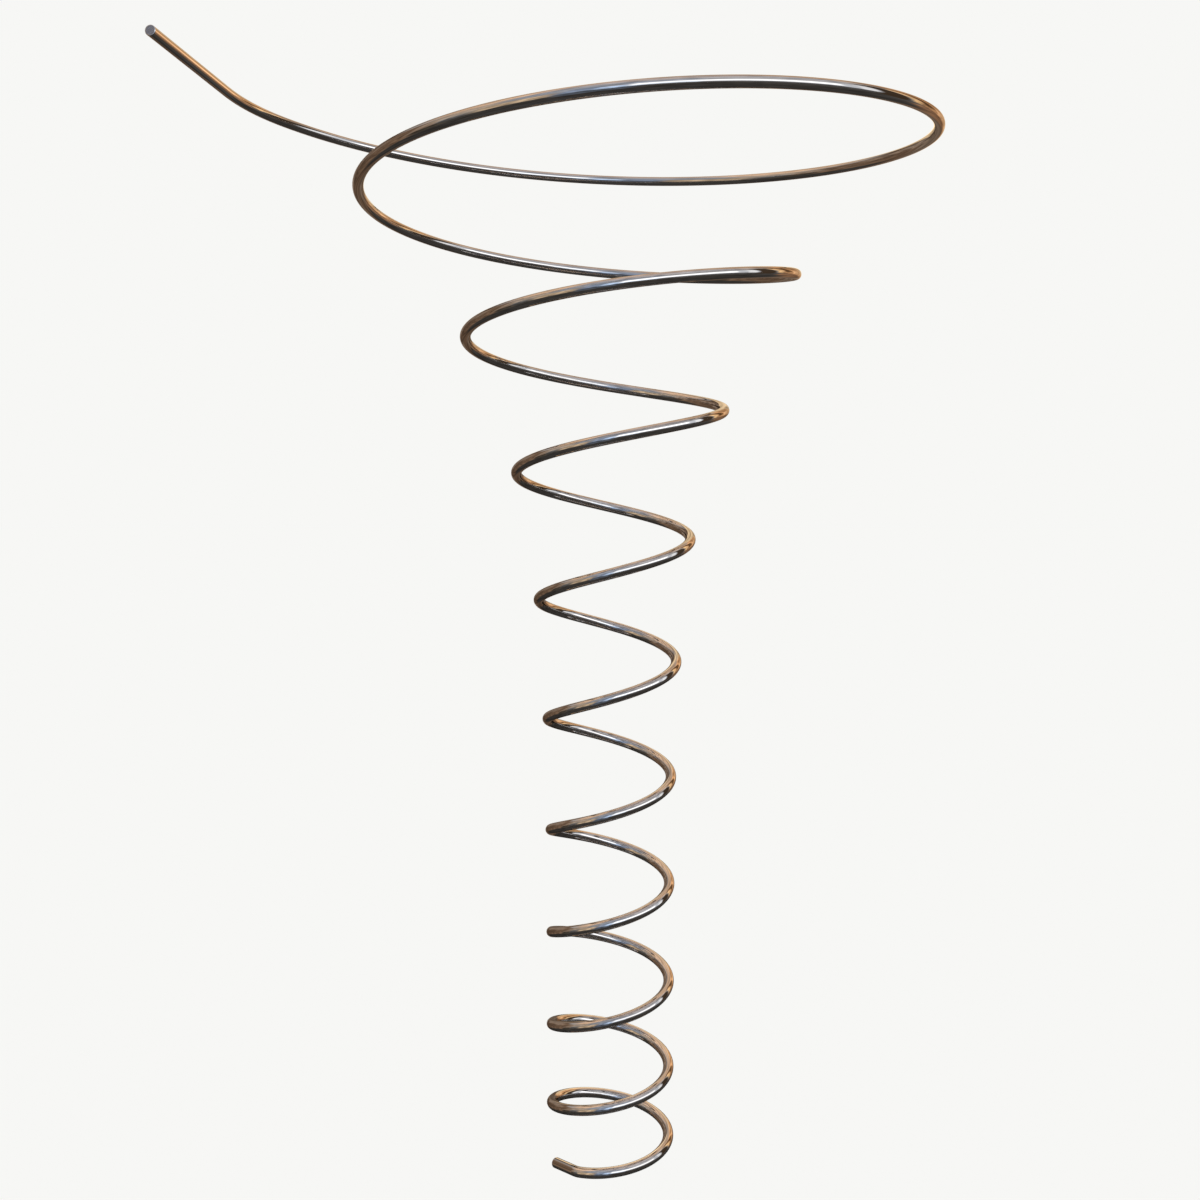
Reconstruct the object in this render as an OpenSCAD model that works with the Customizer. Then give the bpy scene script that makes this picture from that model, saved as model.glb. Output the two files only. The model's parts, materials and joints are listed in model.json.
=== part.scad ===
// Spring coil toy: one long round wire, wound right-handed into a narrow coil that flares
// like a trumpet into a wide top ring and runs out into a straight tail, by which it is held.
// The wire is cut into quarter turns, so that each can twist on the next as the spring works.
// The last turn at the foot carries only its own end and hardly twists, so it is all rigid.
// +Z is up along the coil's axis, and the origin is on that axis, level with the wire's foot end.

/* [Wire] */
// Diameter of the wire
wire_d = 2; // [1.6:0.1:2.4]

/* [Coil] */
// Mean radius of the narrow coil
coil_r = 11.3; // [9:0.1:14]
// Height of the whole coil, foot end to tail end
coil_h = 210; // [180:5:240]
// How the pitch opens toward the top, where 1 is an even pitch
pitch_growth = 1.282; // [1.1:0.002:1.4]

/* [Flare] */
// Radius that the flare adds to the narrow coil by the top
flare_r = 71.9; // [50:0.1:85]
// How late the flare starts, where more keeps the coil narrow for longer
flare_growth = 6.667; // [5:0.001:8]

/* [Ends] */
// Radius of the bend where the coil runs into the straight tail
tail_bend_r = 48; // [20:1:50]
// Radius of the bend where the coil runs into the straight foot tip
foot_bend_r = 4; // [2.5:0.5:6]
// Chamfer that takes the burr off each cut end
end_chamfer = 0.15; // [0.05:0.05:0.4]

/* [Hidden] */
turns = 10;
start_angle = -163.4;
first_cut_angle = -90;
cut_step = 90;
cuts = 39;
flare_pieces = 14;
coil_pieces = 21;
foot_pieces = 4;
// Turns, counted from the foot end, at which the straight ends begin and finish
foot_bend_turn = 0.12;
foot_end_turn = 0.015;
tail_bend_turn = 9.878;
tail_end_turn = 9.982;
// Half of the gap at a joint, between two stretches of wire that turn on each other
joint_cut = 0.05;
round_fn = 32;
sweep_fn = 96;

function piece_names(stem, count) = [for (i = [1:count]) str(stem, i < 10 ? "0" : "", i)];

steel = [0.47, 0.46, 0.45];

// The wire's centreline: a point on it, and its direction toward the tail, at a number of turns
function centreline(turn) =
    let (share = turn / turns, angle = start_angle + 360 * turn)
    let (radius = coil_r + flare_r * pow(share, flare_growth))
    [radius * cos(angle), radius * sin(angle), coil_h * pow(share, pitch_growth)];
function unit(v) = v / norm(v);
function direction(turn) =
    let (share = turn / turns, angle = start_angle + 360 * turn)
    let (radius = coil_r + flare_r * pow(share, flare_growth))
    let (widening = flare_r * flare_growth * pow(share, flare_growth - 1) / turns)
    let (rise = coil_h * pitch_growth * pow(share, pitch_growth - 1) / turns)
    let (sweep = 2 * PI * radius)
    unit([widening * cos(angle) - sweep * sin(angle), widening * sin(angle) + sweep * cos(angle), rise]);
function cut_turn(i) = (first_cut_angle + cut_step * i - start_angle) / 360;

// Wire on the arc that runs from one point through a second to a third
module wire_arc(from, through, to, cut_from = 0, cut_to = 0) {
    u = through - from;
    v = to - from;
    upright = cross(u, v);
    centre = from + (cross(upright, u) * (v * v) + cross(v, upright) * (u * u)) / (2 * upright * upright);
    radius = norm(from - centre);
    outward = unit(from - centre);
    normal = unit(upright);
    along = cross(normal, outward);
    sweep = acos(outward * unit(to - centre));
    trim_from = cut_from / radius * 180 / PI;
    trim_to = cut_to / radius * 180 / PI;
    multmatrix([
        [outward.x, along.x, normal.x, centre.x],
        [outward.y, along.y, normal.y, centre.y],
        [outward.z, along.z, normal.z, centre.z],
        [0, 0, 0, 1]
    ])
        rotate([0, 0, trim_from])
            rotate_extrude(angle = sweep - trim_from - trim_to, $fn = sweep_fn)
                translate([radius, 0])
                    circle(r = wire_d / 2, $fn = round_fn);
}

// Wire between two places on the centreline
module wire_stretch(from_turn, to_turn, cut_from = 0, cut_to = 0) {
    wire_arc(
        centreline(from_turn), centreline((from_turn + to_turn) / 2), centreline(to_turn),
        cut_from, cut_to
    );
}

// A straight end starts with a bend that leaves the coil smoothly and then points at the
// end's own tip. A bend is [where it starts, its direction there, the way it turns, angle].
function end_bend(from, along, tip, radius) =
    let (inward = unit((tip - from) - ((tip - from) * along) * along))
    let (ahead = (tip - from) * along, aside = (tip - from) * inward)
    [from, along, inward, atan2(ahead, radius - aside) - acos(radius / norm([ahead, radius - aside]))];
function on_bend(bend, radius, share) =
    bend[0] + radius * sin(bend[3] * share) * bend[1] + radius * (1 - cos(bend[3] * share)) * bend[2];

module wire_bend(bend, radius) {
    wire_arc(bend[0], on_bend(bend, radius, 0.5), on_bend(bend, radius, 1));
}

module straight_end(from, tip) {
    along = unit(tip - from);
    length = norm(tip - from);
    tilt = acos(along.z);
    heading = atan2(along.y, along.x);
    translate(from) rotate([0, tilt, heading]) {
        cylinder(r = wire_d / 2, h = length - end_chamfer, $fn = round_fn);
        translate([0, 0, length - end_chamfer])
            cylinder(r1 = wire_d / 2, r2 = wire_d / 2 - end_chamfer, h = end_chamfer, $fn = round_fn);
    }
}

// The two ends of the wire
tail_tip = centreline(tail_end_turn);
tail_turning = end_bend(centreline(tail_bend_turn), direction(tail_bend_turn), tail_tip, tail_bend_r);
foot_end = centreline(foot_end_turn);
foot_turning = end_bend(centreline(foot_bend_turn), -direction(foot_bend_turn), foot_end, foot_bend_r);

module tail_pin() {
    color(steel) straight_end(on_bend(tail_turning, tail_bend_r, 1), tail_tip);
}

module tail_bend() {
    color(steel) wire_bend(tail_turning, tail_bend_r);
}

module tail_arc() {
    color(steel) wire_stretch(cut_turn(cuts - 1), tail_bend_turn, joint_cut, 0);
}

// Stretches are numbered from the top down
module flare_arc(number) {
    upper = cuts - number;
    color(steel) wire_stretch(cut_turn(upper - 1), cut_turn(upper), joint_cut, joint_cut);
}

module coil_arc(number) {
    upper = cuts - flare_pieces - number;
    color(steel) wire_stretch(cut_turn(upper - 1), cut_turn(upper), joint_cut, joint_cut);
}

module foot_arc(number) {
    upper = foot_pieces - number;
    lower_turn = upper == 0 ? foot_bend_turn : cut_turn(upper - 1);
    color(steel) wire_stretch(lower_turn, cut_turn(upper), 0, number == 1 ? joint_cut : 0);
}

module foot_bend() {
    color(steel) wire_bend(foot_turning, foot_bend_r);
}

module foot_tip() {
    color(steel) straight_end(on_bend(foot_turning, foot_bend_r, 1), foot_end);
}

tail_pin();
tail_bend();
tail_arc();
for (i = [1:flare_pieces])
    flare_arc(i);
for (i = [1:coil_pieces])
    coil_arc(i);
for (i = [1:foot_pieces])
    foot_arc(i);
foot_bend();
foot_tip();
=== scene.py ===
"""Looks of the spring coil toy: one polished steel wire, built stretch by stretch round the CAD frame."""
import json
import math

import bpy
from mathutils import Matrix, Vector

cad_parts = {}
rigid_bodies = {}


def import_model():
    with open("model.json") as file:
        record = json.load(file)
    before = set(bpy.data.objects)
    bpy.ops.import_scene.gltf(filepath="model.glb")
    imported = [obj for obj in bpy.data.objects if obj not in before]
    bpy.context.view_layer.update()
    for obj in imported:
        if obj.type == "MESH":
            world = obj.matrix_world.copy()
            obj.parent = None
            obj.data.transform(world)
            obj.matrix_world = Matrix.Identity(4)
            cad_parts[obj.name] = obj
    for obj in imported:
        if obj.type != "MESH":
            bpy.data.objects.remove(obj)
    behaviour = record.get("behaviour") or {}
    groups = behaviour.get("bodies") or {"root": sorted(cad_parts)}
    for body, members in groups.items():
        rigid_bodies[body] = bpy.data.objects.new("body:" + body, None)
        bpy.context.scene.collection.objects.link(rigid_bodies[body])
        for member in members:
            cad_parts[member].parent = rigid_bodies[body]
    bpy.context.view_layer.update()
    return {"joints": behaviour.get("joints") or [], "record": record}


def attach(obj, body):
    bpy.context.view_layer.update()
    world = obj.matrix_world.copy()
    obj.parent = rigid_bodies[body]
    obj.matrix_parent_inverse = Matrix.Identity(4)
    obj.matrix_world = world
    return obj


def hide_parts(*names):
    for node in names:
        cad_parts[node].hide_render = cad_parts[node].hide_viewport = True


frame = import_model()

# ---------------------------------------------------------------- the wire's shape, in metres
WIRE_R = 0.001
TURNS = 10
START_ANGLE = math.radians(-163.4)
COIL_R = 0.0113
COIL_H = 0.210
PITCH_GROWTH = 1.282
FLARE_R = 0.0719
FLARE_GROWTH = 6.667
# Turns, counted from the foot end, at which the straight ends begin and finish
FOOT_BEND_TURN, FOOT_END_TURN = 0.12, 0.015
TAIL_BEND_TURN, TAIL_END_TURN = 9.878, 9.982
FOOT_BEND_R, TAIL_BEND_R = 0.004, 0.048
# Hinges come every quarter turn, where the coil is nearest, farthest, leftmost and rightmost
LOWEST_HINGE_ANGLE = math.radians(180)
HINGE_STEP = math.radians(90)
HINGES = len(frame["joints"])

# ---------------------------------------------------------------- how finely it is meshed
ROUND_SIDES = 40
RING_ANGLE = math.radians(2)
BEND_RINGS = 12
STRAIGHT_RINGS = 6
EDGE_ROUND = 0.00013     # rolled edge of each cut end
EDGE_RINGS = 6
SEAM = 0.000002          # how far each stretch stops short of a hinge, so that two never rub


# ---------------------------------------------------------------- centreline
def centreline(turn):
    share = turn / TURNS
    angle = START_ANGLE + math.tau * turn
    radius = COIL_R + FLARE_R * share ** FLARE_GROWTH
    return Vector((radius * math.cos(angle), radius * math.sin(angle), COIL_H * share ** PITCH_GROWTH))


def direction(turn):
    """Unit direction of the centreline toward the tail."""
    share = turn / TURNS
    angle = START_ANGLE + math.tau * turn
    radius = COIL_R + FLARE_R * share ** FLARE_GROWTH
    widening = FLARE_R * FLARE_GROWTH * share ** (FLARE_GROWTH - 1) / TURNS
    rise = COIL_H * PITCH_GROWTH * share ** (PITCH_GROWTH - 1) / TURNS
    outward = Vector((math.cos(angle), math.sin(angle), 0))
    forward = Vector((-math.sin(angle), math.cos(angle), 0))
    return (widening * outward + math.tau * radius * forward + Vector((0, 0, rise))).normalized()


def hinge_turn(index):
    return (LOWEST_HINGE_ANGLE + HINGE_STEP * index - START_ANGLE) / math.tau


def straight_end(turn, along, tip, radius):
    """Points and directions of a bend that leaves the coil smoothly, then of the straight end to its tip."""
    start = centreline(turn)
    ahead = (tip - start).dot(along)
    inward = (tip - start) - ahead * along
    aside = inward.length
    inward.normalize()
    angle = math.atan2(ahead, radius - aside) - math.acos(radius / math.hypot(ahead, radius - aside))
    places = []
    for ring in range(1, BEND_RINGS + 1):
        a = angle * ring / BEND_RINGS
        point = start + radius * math.sin(a) * along + radius * (1 - math.cos(a)) * inward
        places.append((point, (math.cos(a) * along + math.sin(a) * inward).normalized()))
    bend_end, heading = places[-1]
    reach = (tip - bend_end).length - EDGE_ROUND
    for ring in range(1, STRAIGHT_RINGS + 1):
        places.append((bend_end + heading * reach * ring / STRAIGHT_RINGS, heading))
    return places


def whole_wire():
    """The centreline from foot to tail, as (point, direction) places, and which places are hinges."""
    foot = straight_end(FOOT_BEND_TURN, -direction(FOOT_BEND_TURN), centreline(FOOT_END_TURN), FOOT_BEND_R)
    places = [(point, -heading) for point, heading in reversed(foot)]
    marks = [FOOT_BEND_TURN, *(hinge_turn(i) for i in range(HINGES)), TAIL_BEND_TURN]
    hinges = []
    for low, high in zip(marks, marks[1:]):
        if low != FOOT_BEND_TURN:
            hinges.append(len(places))
        steps = math.ceil((high - low) * math.tau / RING_ANGLE)
        for step in range(steps):
            turn = low + (high - low) * step / steps
            places.append((centreline(turn), direction(turn)))
    places.append((centreline(TAIL_BEND_TURN), direction(TAIL_BEND_TURN)))
    places += straight_end(TAIL_BEND_TURN, direction(TAIL_BEND_TURN), centreline(TAIL_END_TURN), TAIL_BEND_R)
    return places, hinges


def with_sides(places):
    """Adds to each place a side direction that doesn't twist about the wire, and the length so far."""
    side = places[0][1].cross(Vector((0, 0, 1))).normalized()
    made = []
    length = 0.0
    before, heading_before = places[0]
    for point, heading in places:
        side = heading_before.rotation_difference(heading) @ side
        side = (side - side.dot(heading) * heading).normalized()
        length += (point - before).length
        made.append((point, heading, side, length))
        before, heading_before = point, heading
    return made


# ---------------------------------------------------------------- mesh
class Stretch:
    """Collects the rings and caps of one stretch of wire, with exact normals."""

    def __init__(self):
        self.points = []
        self.normals = []
        self.lengths = []
        self.faces = []
        self.face_normals = []
        self.face_uvs = []
        self.face_materials = []

    def ring(self, place, radius, lean):
        """A ring of points round the wire. lean tilts its normals toward the wire's direction."""
        point, heading, side, length = place
        other = heading.cross(side)
        for k in range(ROUND_SIDES):
            angle = math.tau * k / ROUND_SIDES
            out = math.cos(angle) * side + math.sin(angle) * other
            self.points.append(point + radius * out)
            self.normals.append((math.cos(lean) * out + math.sin(lean) * heading).normalized())
            self.lengths.append(length)
        return len(self.points) - ROUND_SIDES

    def wall(self, low, high, material=0):
        for k in range(ROUND_SIDES):
            after = (k + 1) % ROUND_SIDES
            corners = [low + k, low + after, high + after, high + k]
            self.faces.append(corners)
            self.face_normals.append([self.normals[c] for c in corners])
            shares = [k / ROUND_SIDES, (k + 1) / ROUND_SIDES, (k + 1) / ROUND_SIDES, k / ROUND_SIDES]
            self.face_uvs.append([(self.lengths[c], share) for c, share in zip(corners, shares)])
            self.face_materials.append(material)

    def cap(self, first, place, outward, material=0):
        """A flat disc on a ring. outward is 1 at the tail side of a stretch and -1 at its foot side."""
        point, heading, side, _ = place
        other = heading.cross(side)
        corners = [first + k for k in range(ROUND_SIDES)]
        if outward < 0:
            corners.reverse()
        self.faces.append(corners)
        self.face_normals.append([heading * outward] * ROUND_SIDES)
        flat = [self.points[c] - point for c in corners]
        self.face_uvs.append([(p.dot(side), p.dot(other)) for p in flat])
        self.face_materials.append(material)

    def rolled_end(self, first, place, outward):
        """Rounds the edge of a cut end beyond a ring, and closes it."""
        point, heading, side, length = place
        low = first
        for k in range(1, EDGE_RINGS + 1):
            a = math.radians(90) * k / EDGE_RINGS
            ahead = EDGE_ROUND * math.sin(a) * outward
            spot = (point + heading * ahead, heading, side, length + ahead)
            high = self.ring(spot, WIRE_R - EDGE_ROUND * (1 - math.cos(a)), a * outward)
            self.wall(*((low, high) if outward > 0 else (high, low)))
            low = high
        self.cap(low, spot, outward, material=1)

    def build(self, name, materials):
        mesh = bpy.data.meshes.new(name)
        mesh.from_pydata(self.points, [], self.faces)
        for material in materials:
            mesh.materials.append(material)
        mesh.polygons.foreach_set("material_index", self.face_materials)
        mesh.polygons.foreach_set("use_smooth", [True] * len(self.faces))
        layer = mesh.uv_layers.new(name="along")
        flat = [number for uvs in self.face_uvs for uv in uvs for number in uv]
        layer.data.foreach_set("uv", flat)
        mesh.normals_split_custom_set([n for normals in self.face_normals for n in normals])
        mesh.update()
        piece = bpy.data.objects.new(name, mesh)
        bpy.context.scene.collection.objects.link(piece)
        return piece


def moved(place, distance):
    """A place moved along the wire, toward the tail."""
    point, heading, side, length = place
    return point + distance * heading, heading, side, length + distance


def stretch_of_wire(name, places, materials, foot_end=False, tail_end=False):
    if not foot_end:
        places[0] = moved(places[0], SEAM)
    if not tail_end:
        places[-1] = moved(places[-1], -SEAM)
    made = Stretch()
    rings = [made.ring(place, WIRE_R, 0) for place in places]
    for low, high in zip(rings, rings[1:]):
        made.wall(low, high)
    if foot_end:
        made.rolled_end(rings[0], places[0], -1)
    else:
        made.cap(rings[0], places[0], -1)
    if tail_end:
        made.rolled_end(rings[-1], places[-1], 1)
    else:
        made.cap(rings[-1], places[-1], 1)
    return made.build(name, materials)


# ---------------------------------------------------------------- shader nodes
class NodeTree:
    """Adds the kinds of node that the materials and the studio share."""

    def __init__(self, tree):
        self.nodes, self.links = tree.nodes, tree.links

    def feed(self, socket, value):
        """Gives an input a number, a colour or another node's output."""
        if isinstance(value, bpy.types.NodeSocket):
            self.links.new(value, socket)
        elif isinstance(value, tuple):
            socket.default_value = (*value, 1)
        else:
            socket.default_value = value

    def noise(self, place, scales, detail, roughness):
        """Noise with so many features a unit along each axis of a place."""
        scale = self.nodes.new("ShaderNodeVectorMath")
        scale.operation = "MULTIPLY"
        scale.inputs[1].default_value = scales
        noise = self.nodes.new("ShaderNodeTexNoise")
        noise.inputs["Scale"].default_value = 1.0
        noise.inputs["Detail"].default_value = detail
        noise.inputs["Roughness"].default_value = roughness
        self.links.new(place, scale.inputs[0])
        self.links.new(scale.outputs["Vector"], noise.inputs["Vector"])
        return noise.outputs["Fac"]

    def levels(self, value, start, end, low=0.0, high=1.0, smooth=False):
        """Turns a value that runs from start to end into one that runs from low to high."""
        node = self.nodes.new("ShaderNodeMapRange")
        if smooth:
            node.interpolation_type = "SMOOTHSTEP"
        node.inputs["From Min"].default_value = start
        node.inputs["From Max"].default_value = end
        node.inputs["To Min"].default_value = low
        node.inputs["To Max"].default_value = high
        self.links.new(value, node.inputs["Value"])
        return node.outputs["Result"]

    def blend(self, share, first, second):
        """The first colour where the share is 0 and the second where it is 1."""
        node = self.nodes.new("ShaderNodeMix")
        node.data_type = "RGBA"
        self.feed(node.inputs["Factor"], share)
        self.feed(node.inputs["A"], first)
        self.feed(node.inputs["B"], second)
        return node.outputs["Result"]


# ---------------------------------------------------------------- materials
class Steel(NodeTree):
    """A steel whose colour, polish and relief follow noises laid out along the wire."""

    def __init__(self, name):
        self.material = bpy.data.materials.new(name)
        self.material.use_nodes = True
        super().__init__(self.material.node_tree)
        self.shader = self.nodes["Principled BSDF"]
        self.shader.inputs["Metallic"].default_value = 1.0
        along = self.nodes.new("ShaderNodeUVMap")
        along.uv_map = "along"
        self.place = along.outputs["UV"]

    def colour(self, share, first, second):
        self.links.new(self.blend(share, first, second), self.shader.inputs["Base Color"])

    def polish(self, roughness):
        self.links.new(roughness, self.shader.inputs["Roughness"])

    def relief(self, height, strength, depth):
        bump = self.nodes.new("ShaderNodeBump")
        bump.inputs["Strength"].default_value = strength
        bump.inputs["Distance"].default_value = depth
        self.links.new(height, bump.inputs["Height"])
        self.links.new(bump.outputs["Normal"], self.shader.inputs["Normal"])


def wire_steel():
    """Polished drawn steel: streaks along the wire, soft smears and fine drawing lines."""
    steel = Steel("polished_wire")
    # Keeps the wire's outline dark where it is seen edge-on
    steel.shader.inputs["Specular Tint"].default_value = (0.50, 0.48, 0.47, 1)
    # Each noise has so many features a metre along the wire, and so many round it
    streaks = steel.noise(steel.place, (40, 18, 1), detail=4, roughness=0.6)
    smears = steel.noise(steel.place, (180, 2, 1), detail=3, roughness=0.5)
    lines = steel.noise(steel.place, (90, 24, 1), detail=4, roughness=0.65)
    steel.colour(steel.levels(streaks, 0.32, 0.68), (0.56, 0.535, 0.515), (0.80, 0.785, 0.775))
    steel.polish(steel.levels(smears, 0.3, 0.75, low=0.02, high=0.07))
    steel.relief(lines, strength=0.5, depth=0.000008)
    return steel.material


def cut_steel():
    """The matt face of a sheared end, with shear lines across it."""
    steel = Steel("cut_end")
    lines = steel.noise(steel.place, (2500, 14000, 1), detail=5, roughness=0.5)
    steel.colour(lines, (0.28, 0.29, 0.33), (0.42, 0.43, 0.48))
    steel.polish(steel.levels(lines, 0.0, 1.0, low=0.34, high=0.55))
    steel.relief(lines, strength=0.5, depth=0.00001)
    return steel.material


# ---------------------------------------------------------------- studio
BACKDROP = (0.930, 0.930, 0.913)
FLOOR_Z = -0.35
FLOOR_SIZE = 60.0


class Sky(NodeTree):
    """Builds the studio round the object as soft-edged cards on a sphere, for the wire to reflect."""

    def __init__(self):
        world = bpy.data.worlds.new("studio")
        bpy.context.scene.world = world
        world.use_nodes = True
        world.cycles.sampling_method = "NONE"
        super().__init__(world.node_tree)
        self.nodes.clear()
        self.way = self.nodes.new("ShaderNodeTexCoord").outputs["Generated"]
        parts = self.nodes.new("ShaderNodeSeparateXYZ")
        self.links.new(self.way, parts.inputs[0])
        east, north, up = parts.outputs
        self.azimuth = self.degrees("ARCTAN2", east, north)
        self.elevation = self.degrees("ARCSINE", up)

    def math(self, operation, *values):
        node = self.nodes.new("ShaderNodeMath")
        node.operation = operation
        for socket, value in zip(node.inputs, values):
            self.feed(socket, value)
        return node.outputs[0]

    def degrees(self, operation, *values):
        return self.math("DEGREES", self.math(operation, *values))

    def gradient(self, stops):
        """Colour by elevation, from (elevation, colour) stops."""
        ramp = self.nodes.new("ShaderNodeValToRGB")
        ramp.color_ramp.interpolation = "EASE"
        points = ramp.color_ramp.elements
        while len(points) < len(stops):
            points.new(0.5)
        for point, (elevation, colour) in zip(points, stops):
            point.position = (elevation + 90) / 180
            point.color = (*colour, 1)
        share = self.math("DIVIDE", self.math("ADD", self.elevation, 90), 180)
        self.links.new(share, ramp.inputs[0])
        return ramp.outputs["Color"]

    def card(self, under, azimuth, elevation, width, height, soft, colour):
        """Lays a soft-edged card over what is under it, with every measure in degrees.

        Azimuth 0 is behind the object, and 90 to its right.
        """
        across = self.math("WRAP", self.math("SUBTRACT", self.azimuth, azimuth), 180, -180)
        above = self.math("SUBTRACT", self.elevation, elevation)
        beside = self.levels(self.math("ABSOLUTE", across), width / 2 + soft, width / 2 - soft, smooth=True)
        level = self.levels(self.math("ABSOLUTE", above), height / 2 + soft, height / 2 - soft, smooth=True)
        return self.blend(self.math("MULTIPLY", beside, level), under, colour)

    def uneven(self, room):
        """Breaks the room up into lighter and darker upright folds."""
        folds = self.noise(self.way, (9, 9, 3), detail=3, roughness=0.6)
        shade = self.nodes.new("ShaderNodeVectorMath")
        shade.operation = "SCALE"
        self.links.new(room, shade.inputs[0])
        self.links.new(self.levels(folds, 0.35, 0.65, low=0.55, high=1.40), shade.inputs["Scale"])
        return shade.outputs["Vector"]

    def finish(self, room):
        """The wire reflects the room, the floor is lit evenly, and the camera sees the plain backdrop."""
        path = self.nodes.new("ShaderNodeLightPath")
        seen = self.background(BACKDROP)
        even = self.background((1, 1, 1))
        reflected = self.background(room)
        lit = self.mix(path.outputs["Is Diffuse Ray"], reflected, even)
        out = self.nodes.new("ShaderNodeOutputWorld")
        self.links.new(self.mix(path.outputs["Is Camera Ray"], lit, seen), out.inputs["Surface"])

    def background(self, colour):
        node = self.nodes.new("ShaderNodeBackground")
        self.feed(node.inputs["Color"], colour)
        return node.outputs[0]

    def mix(self, factor, first, second):
        node = self.nodes.new("ShaderNodeMixShader")
        self.links.new(factor, node.inputs[0])
        self.links.new(first, node.inputs[1])
        self.links.new(second, node.inputs[2])
        return node.outputs[0]


def light_the_studio():
    sky = Sky()
    room = sky.gradient([
        (-90, (0.055, 0.052, 0.050)),
        (-38, (0.050, 0.045, 0.041)),
        (-20, (0.076, 0.070, 0.064)),
        (-4, (0.12, 0.118, 0.12)),
        (8, (0.30, 0.27, 0.24)),
        (40, (0.46, 0.41, 0.38)),
        (70, (0.60, 0.50, 0.46)),
        (90, (0.60, 0.50, 0.46)),
    ])
    # azimuth, elevation, width, height, softness, colour
    ceiling = [
        (-150, 48, 70, 40, 8, (0.38, 0.40, 0.45)),
        (134, 52, 100, 28, 8, (0.54, 0.54, 0.57)),
        (172, 38, 34, 18, 6, (0.38, 0.43, 0.54)),
        (-46, 55, 112, 26, 5, (0.90, 0.62, 0.42)),
        (28, 53, 64, 24, 6, (0.76, 0.52, 0.35)),
    ]
    warm_wall = [
        (-40, 3, 112, 62, 3, (0.20, 0.126, 0.080)),
        (-40, 18, 44, 16, 5, (0.36, 0.26, 0.19)),
        (-22, 8, 22, 20, 5, (0.48, 0.36, 0.27)),
        (-92, 6, 16, 34, 3, (0.27, 0.19, 0.135)),
        (-93, -20, 18, 26, 3, (0.075, 0.062, 0.047)),
        (-104, 30, 34, 26, 7, (0.50, 0.39, 0.30)),
        (34, -8, 44, 20, 5, (0.36, 0.20, 0.11)),
        (34, 19, 46, 40, 3, (1.06, 0.57, 0.27)),
        (28, 9, 24, 14, 4, (1.25, 0.76, 0.40)),
        (5, 23, 32, 30, 3, (1.40, 1.05, 0.64)),
        (0, -8, 36, 22, 4, (0.32, 0.235, 0.17)),
        (48, 28, 12, 40, 2, (0.28, 0.145, 0.062)),
        (60, 18, 7, 40, 2, (1.10, 0.70, 0.34)),
    ]
    viewer_side = [
        (-134, 2, 30, 34, 6, (0.72, 0.54, 0.36)),
        (-158, 16, 16, 44, 4, (0.27, 0.33, 0.45)),
        (-166, -18, 30, 34, 4, (0.10, 0.118, 0.150)),
        (-172, 8, 16, 26, 2, (0.66, 0.85, 1.16)),
    ]
    dark_post = [
        (75, 14, 18, 56, 2, (0.065, 0.043, 0.027)),
    ]
    window = [
        (134, 17, 100, 34, 2, (0.74, 0.77, 0.83)),
        (143, 16, 80, 18, 2, (1.90, 1.93, 1.98)),
        (90, 14, 8, 30, 1, (1.10, 1.12, 1.15)),
        (170, 6, 24, 14, 2, (1.35, 1.50, 1.70)),
    ]
    for card in ceiling + warm_wall + viewer_side:
        room = sky.card(room, *card)
    room = sky.uneven(room)
    for card in dark_post + window:
        room = sky.card(room, *card)
    sky.finish(room)


def lay_floor():
    material = bpy.data.materials.new("pale_floor")
    material.use_nodes = True
    shader = material.node_tree.nodes["Principled BSDF"]
    shader.inputs["Base Color"].default_value = (*BACKDROP, 1)
    shader.inputs["Roughness"].default_value = 1.0
    shader.inputs["Specular IOR Level"].default_value = 0.0
    half = FLOOR_SIZE / 2
    corners = [(-half, -half), (half, -half), (half, half), (-half, half)]
    mesh = bpy.data.meshes.new("floor")
    mesh.from_pydata([(x, y, FLOOR_Z) for x, y in corners], [], [(0, 1, 2, 3)])
    mesh.materials.append(material)
    floor = bpy.data.objects.new("floor", mesh)
    bpy.context.scene.collection.objects.link(floor)
    # The wire reflects the studio's dark lower half and not the floor
    floor.visible_glossy = False


# ---------------------------------------------------------------- camera
CAMERA_PLACE = (-0.001968, -0.2756, 0.12642)
CAMERA_LOOKS_DOWN = math.radians(3.787)
LENS_MM, SENSOR_MM = 43.54, 36
NEAREST_SEEN, FARTHEST_SEEN = 0.01, 200.0


def place_camera():
    lens = bpy.data.cameras.new("camera")
    lens.sensor_width = SENSOR_MM
    lens.lens = LENS_MM
    lens.clip_start = NEAREST_SEEN
    lens.clip_end = FARTHEST_SEEN
    camera = bpy.data.objects.new("camera", lens)
    camera.location = CAMERA_PLACE
    camera.rotation_euler = (math.radians(90) - CAMERA_LOOKS_DOWN, 0, 0)
    bpy.context.scene.collection.objects.link(camera)
    bpy.context.scene.camera = camera


# ---------------------------------------------------------------- putting it together
def hang_wire():
    places, hinges = whole_wire()
    places = with_sides(places)
    materials = [wire_steel(), cut_steel()]
    bodies = frame["record"]["behaviour"]["bodies"]
    above = {joint["child"]: joint["parent"] for joint in frame["joints"]}
    from_foot = ["foot"]
    while from_foot[-1] in above:
        from_foot.append(above[from_foot[-1]])
    cuts = [0, *hinges, len(places) - 1]
    for body, low, high in zip(from_foot, cuts, cuts[1:]):
        piece = stretch_of_wire(
            f"wire_{body}", places[low:high + 1], materials, foot_end=low == 0, tail_end=high == cuts[-1]
        )
        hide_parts(*bodies[body])
        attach(piece, body)


bpy.context.scene.view_settings.view_transform = "Standard"
place_camera()
light_the_studio()
lay_floor()
hang_wire()
